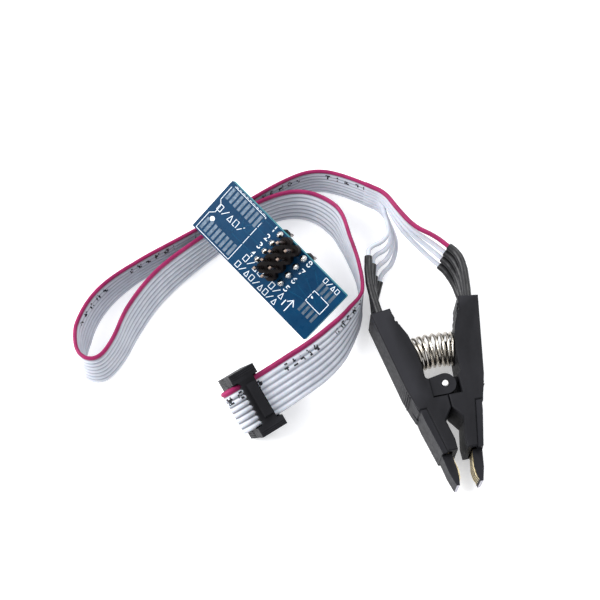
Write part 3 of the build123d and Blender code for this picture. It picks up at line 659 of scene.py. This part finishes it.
def make_sleeve(name, line, material):
    """Shrink tube: drawn in a little over the wire, with a cut mouth that shows its wall."""
    points, sides = [], 20
    along = distances(line)
    axes = upright_axes(line)
    for place, (side, other), here in zip(line, axes, along):
        left = (along[-1] - here) / MM
        drawn = SLEEVE_RADIUS * (0.93 + 0.07 * min(1.0, left / 2.5))
        for i in range(sides):
            way = side * cos(tau * i / sides) + other * sin(tau * i / sides)
            ripple = 1 + 0.05 * noise.noise((place / MM + way) * 0.9)
            points.append(place / MM + way * drawn * ripple)
    for depth in (0, 3):
        place, (side, other) = line[-1 - depth], axes[-1 - depth]
        for i in range(sides):
            way = side * cos(tau * i / sides) + other * sin(tau * i / sides)
            points.append(place / MM + way * SLEEVE_BORE)
    return link(name, from_faces(name, points, ring_faces(len(line) + 2, sides, True)), [material], 50)


# --- Spring ----------------------------------------------------------------------------------------------
def make_spring(material):
    """A coil whose turns fan out away from the pivot, with closed end turns."""
    fan = radians(24)
    bend = (2 * POCKET_REACH - 1.0) / fan
    steps = 28 * int(SPRING_TURNS * 2)
    line = []
    for step in range(steps + 1):
        share = step / steps
        ends = 0.035 * sin(tau * share)
        lean = (share - 0.5 - ends) * fan
        turn = tau * SPRING_TURNS * share
        out = CLIP.x * sin(lean) + CLIP.y * cos(lean)
        middle = CLIP.at(0, SPRING_HEIGHT - bend, MIDDLE) + out * bend
        line.append((middle + (out * cos(turn) + CLIP.z * sin(turn)) * SPRING_RADIUS) * MM)
    spring = tube("spring_coil", line, SPRING_WIRE, [material], 12)
    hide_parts("spring")
    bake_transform(spring)


# --- Clip ------------------------------------------------------------------------------------------------
def make_clip():
    nylon = moulded("nylon", (0.007, 0.007, 0.0085), (0.014, 0.014, 0.0165), 0.42, 0.56)
    carrier = moulded("carrier_nylon", (0.006, 0.006, 0.0075), (0.012, 0.012, 0.0145), 0.4, 0.54)
    gold = plated("contact_plate", (0.8, 0.68, 0.42), (0.5, 0.4, 0.22), 0.2, 0.34)
    steel = plated("pin_steel", (0.74, 0.74, 0.74), (0.6, 0.58, 0.55), 0.22, 0.35)
    nickel = plated("spring_nickel", (0.62, 0.58, 0.52), (0.38, 0.34, 0.28), 0.16, 0.3)
    cut = cut_plastic()
    make_clip_details(nylon)
    for jaw, body in (("right", "root"), ("left", "left_jaw")):
        refined(f"{jaw}_lever", body, nylon, 0.22)
        tips = refined(f"{jaw}_contact_carrier", body, carrier, 0.1)
        tips.data.materials.append(cut)
        low = CLIP.at(0, TIPS_END, 0)
        for face in tips.data.polygons:
            if face.normal.dot(CLIP.y) < -0.95 and (face.center / MM - low).dot(CLIP.y) < 0.1:
                face.material_index = 1
        for index in range(1, 5):
            dress(f"{jaw}_contact_{index}", gold)
    dress("pivot_pin", steel)
    make_spring(nickel)


def make_clip_details(nylon):
    """Moulded details of the levers: grip ridges and catches on the outer sides, steps inside the handles."""
    for side, jaw, body in ((1, "right", "root"), (-1, "left", "left_jaw")):
        shape = ([], [])
        for ridge in range(9):
            y = -1.6 + ridge * 0.75
            x = 8.75 + (y - 0.5) * 0.182
            low, high = (1.2, 8.6) if ridge not in (0, 8) else (0.9, 8.9)
            outline = [(side * (x - 0.3), y - 0.16), (side * (x + 0.1), y - 0.1), (side * (x + 0.1), y + 0.1),
                       (side * (x - 0.3), y + 0.16)]
            block(shape, outline[::side], low, high, CLIP)
        for low, high in ((0.9, 3.4), (6.4, 8.9)):
            outline = [(side * 6.5, -5.5), (side * 7.15, -5.3), (side * 7.75, -3.2), (side * 7.4, -2.9),
                       (side * 6.6, -3.3)]
            block(shape, outline[::side], low, high, CLIP)
        for step in range(2):
            y = 16.2 + step * 1.7
            x = 6.72 + step * 0.57
            outline = [(side * (x - 0.1), y - 0.45), (side * (x + 0.4), y - 0.5), (side * (x + 0.5), y + 0.5),
                       (side * (x + 0.08), y + 0.45)]
            block(shape, outline[::side], 0.8, 9.0, CLIP)
        piece = softened(link(f"{jaw}_lever_details", from_faces("details", *shape), [nylon]), 0.06)
        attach(piece, body)


def dress(node, material):
    """A CAD node that stays, in its own finish."""
    mesh = NODES[node].data
    if not mesh.materials:
        mesh.materials.append(material)
    for index in range(len(NODES[node].material_slots)):
        NODES[node].material_slots[index].link = "OBJECT"
        NODES[node].material_slots[index].material = material


# --- Socket ----------------------------------------------------------------------------------------------
def make_socket():
    plastic = moulded("socket_polyester", (0.006, 0.006, 0.007), (0.013, 0.013, 0.015), 0.42, 0.58, 6.0, 0.06)
    for node in ("socket_housing", "socket_cover", "strain_relief"):
        refined(node, "root", plastic, 0.12)
    make_socket_ribs(plastic)
    dress("socket_contacts", plated("socket_tin", (0.7, 0.68, 0.62), (0.5, 0.48, 0.42), 0.25, 0.4))


def make_socket_ribs(plastic):
    """Ridges along the strain relief's ends and down the socket's sides."""
    shape = ([], [])
    top = UPPER_LEG + 2.0
    for end in (-1, 1):
        for ridge in range(3):
            y = end * (7.45 + ridge * 0.42 - 1.2)
            outline = [(-2.6, y - 0.1), (2.6, y - 0.1), (2.6, y + 0.1), (-2.6, y + 0.1)]
            block(shape, outline, top - 0.2, top + 0.14, SOCKET)
        for face in (-1, 1):
            for ridge in range(4):
                x = face * 3.05
                y = end * (5.7 + ridge * 0.5)
                outline = [(x - 0.12, y - 0.1), (x + 0.12, y - 0.1), (x + 0.12, y + 0.1), (x - 0.12, y + 0.1)]
                block(shape, outline, 0.8, 6.6, SOCKET)
    ribs = softened(link("socket_ribs", from_faces("ribs", *shape), [plastic]), 0.05)
    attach(ribs, "root")


# --- Adapter board ---------------------------------------------------------------------------------------
def group_places(columns_apart):
    """Places of two rows of four pins about the middle of the pin group."""
    for column in (-1, 1):
        for row in range(4):
            yield PIN_GROUP[0] + column * columns_apart / 2, PIN_GROUP[1] + (row - 1.5) * PIN_PITCH


def make_board():
    blue = lacquer("board_lacquer", (0.0003, 0.026, 0.072), (0.0006, 0.036, 0.092))
    fibre = glass_fibre()
    board = refined("adapter_board", "adapter", blue, 0.06)
    board.data.materials.append(fibre)
    for face in board.data.polygons:
        if abs(face.normal.dot(BOARD.z)) < 0.5:
            face.material_index = 1
    strip = moulded("header_nylon", (0.004, 0.0035, 0.0035), (0.01, 0.008, 0.008), 0.35, 0.5, 5.0, 0.04)
    for node in ("header_strip", "rear_leg_strip", "front_leg_strip"):
        refined(node, "adapter", strip, 0.08)
    # Painted shade: the pins' gold is darkened to a dark bronze, for the shade they stand in and the dark
    # surroundings they reflect.
    pins = plated("pin_plate_painted_shade", (0.2, 0.155, 0.13), (0.1, 0.07, 0.055), 0.2, 0.34)
    for node in ("header_pins", "leg_pins"):
        refined(node, "adapter", pins, 0.04)
    tin = plated("pad_tin", (0.07, 0.092, 0.12), (0.035, 0.055, 0.08), 0.3, 0.5)
    for node in ("wide_chip_pads", "narrow_chip_pads"):
        dress(node, tin)
    make_solder()
    make_tracks(lacquer("track_lacquer", (0.0005, 0.037, 0.09), (0.001, 0.047, 0.112)))
    make_legend()


def make_solder():
    """Domes of solder over the pins: legs on the upper face, header on the lower face."""
    shape = ([], [])
    profile = ((0.9, -0.02), (0.9, 0.06), (0.84, 0.3), (0.7, 0.66), (0.48, 0.98), (0.22, 1.2), (0.06, 1.26))
    for spacing, level, way in ((LEG_SPACING, 0.0, 1), (PIN_PITCH, -BOARD_THICKNESS, -1)):
        for x, y in group_places(spacing):
            size = 1 + 0.08 * noise.noise(Vector((x, y, way)) * 3.1)
            turn = Matrix((BOARD.x, BOARD.y * way, BOARD.z * way)).transposed().to_4x4()
            matrix = Matrix.Translation(BOARD.at(x, y, level)) @ turn @ Matrix.Scale(size, 4)
            lathe(shape, matrix, profile)
    metal = plated("solder_metal", (0.78, 0.78, 0.76), (0.62, 0.6, 0.56), 0.16, 0.3, 2.0)
    solder = link("solder_domes", from_faces("solder", *shape), [metal], 80)
    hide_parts("solder_joints")
    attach(solder, "adapter")


def make_tracks(material):
    """Copper under the lacquer, from the footprints' pads to the pins, on both faces."""
    shape = ([], [])
    for low, high in ((0.0, 0.035), (-BOARD_THICKNESS - 0.035, -BOARD_THICKNESS)):
        for row in range(4):
            y = PIN_GROUP[1] + (row - 1.5) * PIN_PITCH
            x = PIN_GROUP[0] - LEG_SPACING / 2
            pad_x = WIDE_PADS[0] + (row + 0.5) * PITCH
            stroke(shape, [(pad_x, 2.9 - 0.6 * row), (pad_x + 1.0, y), (x, y)], 0.3, low, high, BOARD)
            end_x = PIN_GROUP[0] + LEG_SPACING / 2
            pad_x = NARROW_PADS[0] + (row - 1.5) * PITCH
            stroke(shape, [(end_x, y), (end_x + 2.2 + 0.5 * row, y), (pad_x - 0.8, -0.6 + 0.7 * row)],
                   0.3, low, high, BOARD)
    tracks = link("board_tracks", from_faces("tracks", *shape), [material])
    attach(tracks, "adapter")


def numeral(text, x, y, size, level):
    """A numeral's mesh on the board's upper face, its middle at a place."""
    curve = bpy.data.curves.new("numeral", "FONT")
    curve.body = text
    curve.size = size * MM
    curve.extrude = 0.012 * MM
    curve.offset = 0.012 * MM
    curve.align_x = "CENTER"
    curve.align_y = "CENTER"
    curve.resolution_u = 4
    holder = bpy.data.objects.new("numeral", curve)
    mesh = bpy.data.meshes.new_from_object(holder)
    mesh.transform(BOARD.matrix(x, y, level))
    bpy.data.objects.remove(holder)
    bpy.data.curves.remove(curve)
    return mesh


def make_legend():
    """White print: the two footprints' outlines and dots, pin numerals, an arrow, and plain signs."""
    shape = ([], [])
    low, high, line = 0.0, 0.03, 0.14
    left, right, bottom, top = -17.6, -6.9, -6.6, 6.6
    stroke(shape, [(left + 0.6, top - 0.2), (right, top - 0.2), (right, bottom), (left, bottom), (left, -2.0),
                   (left + 1.0, -1.0), (left + 1.0, 1.0), (left, 2.0), (left + 0.0, top - 0.8)],
           line, low, high, BOARD)
    dashes = 9
    for dash in range(dashes):
        start = left + 0.9 + dash * (right - left - 0.9) / dashes
        stroke(shape, [(start, top + 0.08), (start + 0.55, top + 0.08)], 0.09, low, high, BOARD)
    disc(shape, -16.0, -2.6, 0.62, low, high, BOARD)
    x, y = NARROW_PADS
    stroke(shape, [(x - 2.25, y - 1.5), (x + 2.25, y - 1.5), (x + 2.25, y + 1.5), (x - 2.25, y + 1.5),
                   (x - 2.25, y - 1.5)], 0.16, low, high, BOARD)
    disc(shape, x - 1.6, y + 0.1, 0.3, low, high, BOARD)
    stroke(shape, [(10.6, -5.6), (10.6, -2.4)], 0.2, low, high, BOARD)
    stroke(shape, [(9.7, -3.5), (10.6, -2.4), (11.5, -3.5)], 0.2, low, high, BOARD)
    plain_marks(shape, -12.9, 0.5, 5, 1.7)
    plain_marks(shape, -1.6, -3.4, 4, 1.6)
    plain_marks(shape, 6.2, -3.6, 3, 1.6)
    plain_marks(shape, 1.5, -5.7, 9, 1.5)
    plain_marks(shape, 14.6, 6.0, 4, 1.2)
    ink = white_ink()
    legend = link("board_legend", from_faces("legend", *shape), [ink])
    for index in range(8):
        column = -1 if index < 4 else 1
        row = 1.5 - index if index < 4 else index - 5.5
        mesh = numeral(str(index + 1), PIN_GROUP[0] + column * 5.6, PIN_GROUP[1] + row * PIN_PITCH, 2.3, 0.02)
        add_mesh(legend, mesh)
    add_mesh(legend, numeral("1", 9.2, -4.4, 2.2, 0.02))
    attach(legend, "adapter")


def add_mesh(piece, mesh):
    """Joins a mesh onto a piece in the piece's own finish."""
    both = bmesh.new()
    both.from_mesh(piece.data)
    both.from_mesh(mesh)
    both.to_mesh(piece.data)
    both.free()
    bpy.data.meshes.remove(mesh)


def plain_marks(shape, x, y, count, size):
    """A row of plain signs where a board has its name: squares, triangles and slashes."""
    step = size * 1.0
    low, high, line = 0.0, 0.03, 0.15
    for index in range(count):
        middle = x + (index - (count - 1) / 2) * step
        wide, tall = size * 0.32, size * 0.45
        sign = index % 3
        if sign == 0:
            points = [(middle - wide, y - tall), (middle + wide, y - tall), (middle + wide, y + tall),
                      (middle - wide, y + tall), (middle - wide, y - tall)]
        elif sign == 1:
            points = [(middle - wide, y - tall), (middle + wide, y + tall)]
        else:
            points = [(middle - wide, y - tall), (middle + wide, y - tall), (middle, y + tall),
                      (middle - wide, y - tall)]
        stroke(shape, points, line, low, high, BOARD)


# --- The scene -------------------------------------------------------------------------------------------
make_camera()
make_socket()
make_ribbon()
SKINS = {
    "white": cord_skin("tail_pvc", *PVC_WHITE, 0.15).material,
    "pink": cord_skin("marked_tail_pvc", *PVC_PINK, 0.05).material,
    "sleeve": shrink_tube(),
}
for tail_side in (1, -1):
    for tail_index in range(4):
        make_tail(tail_side, tail_index, SKINS)
make_studio()
make_clip()
make_board()
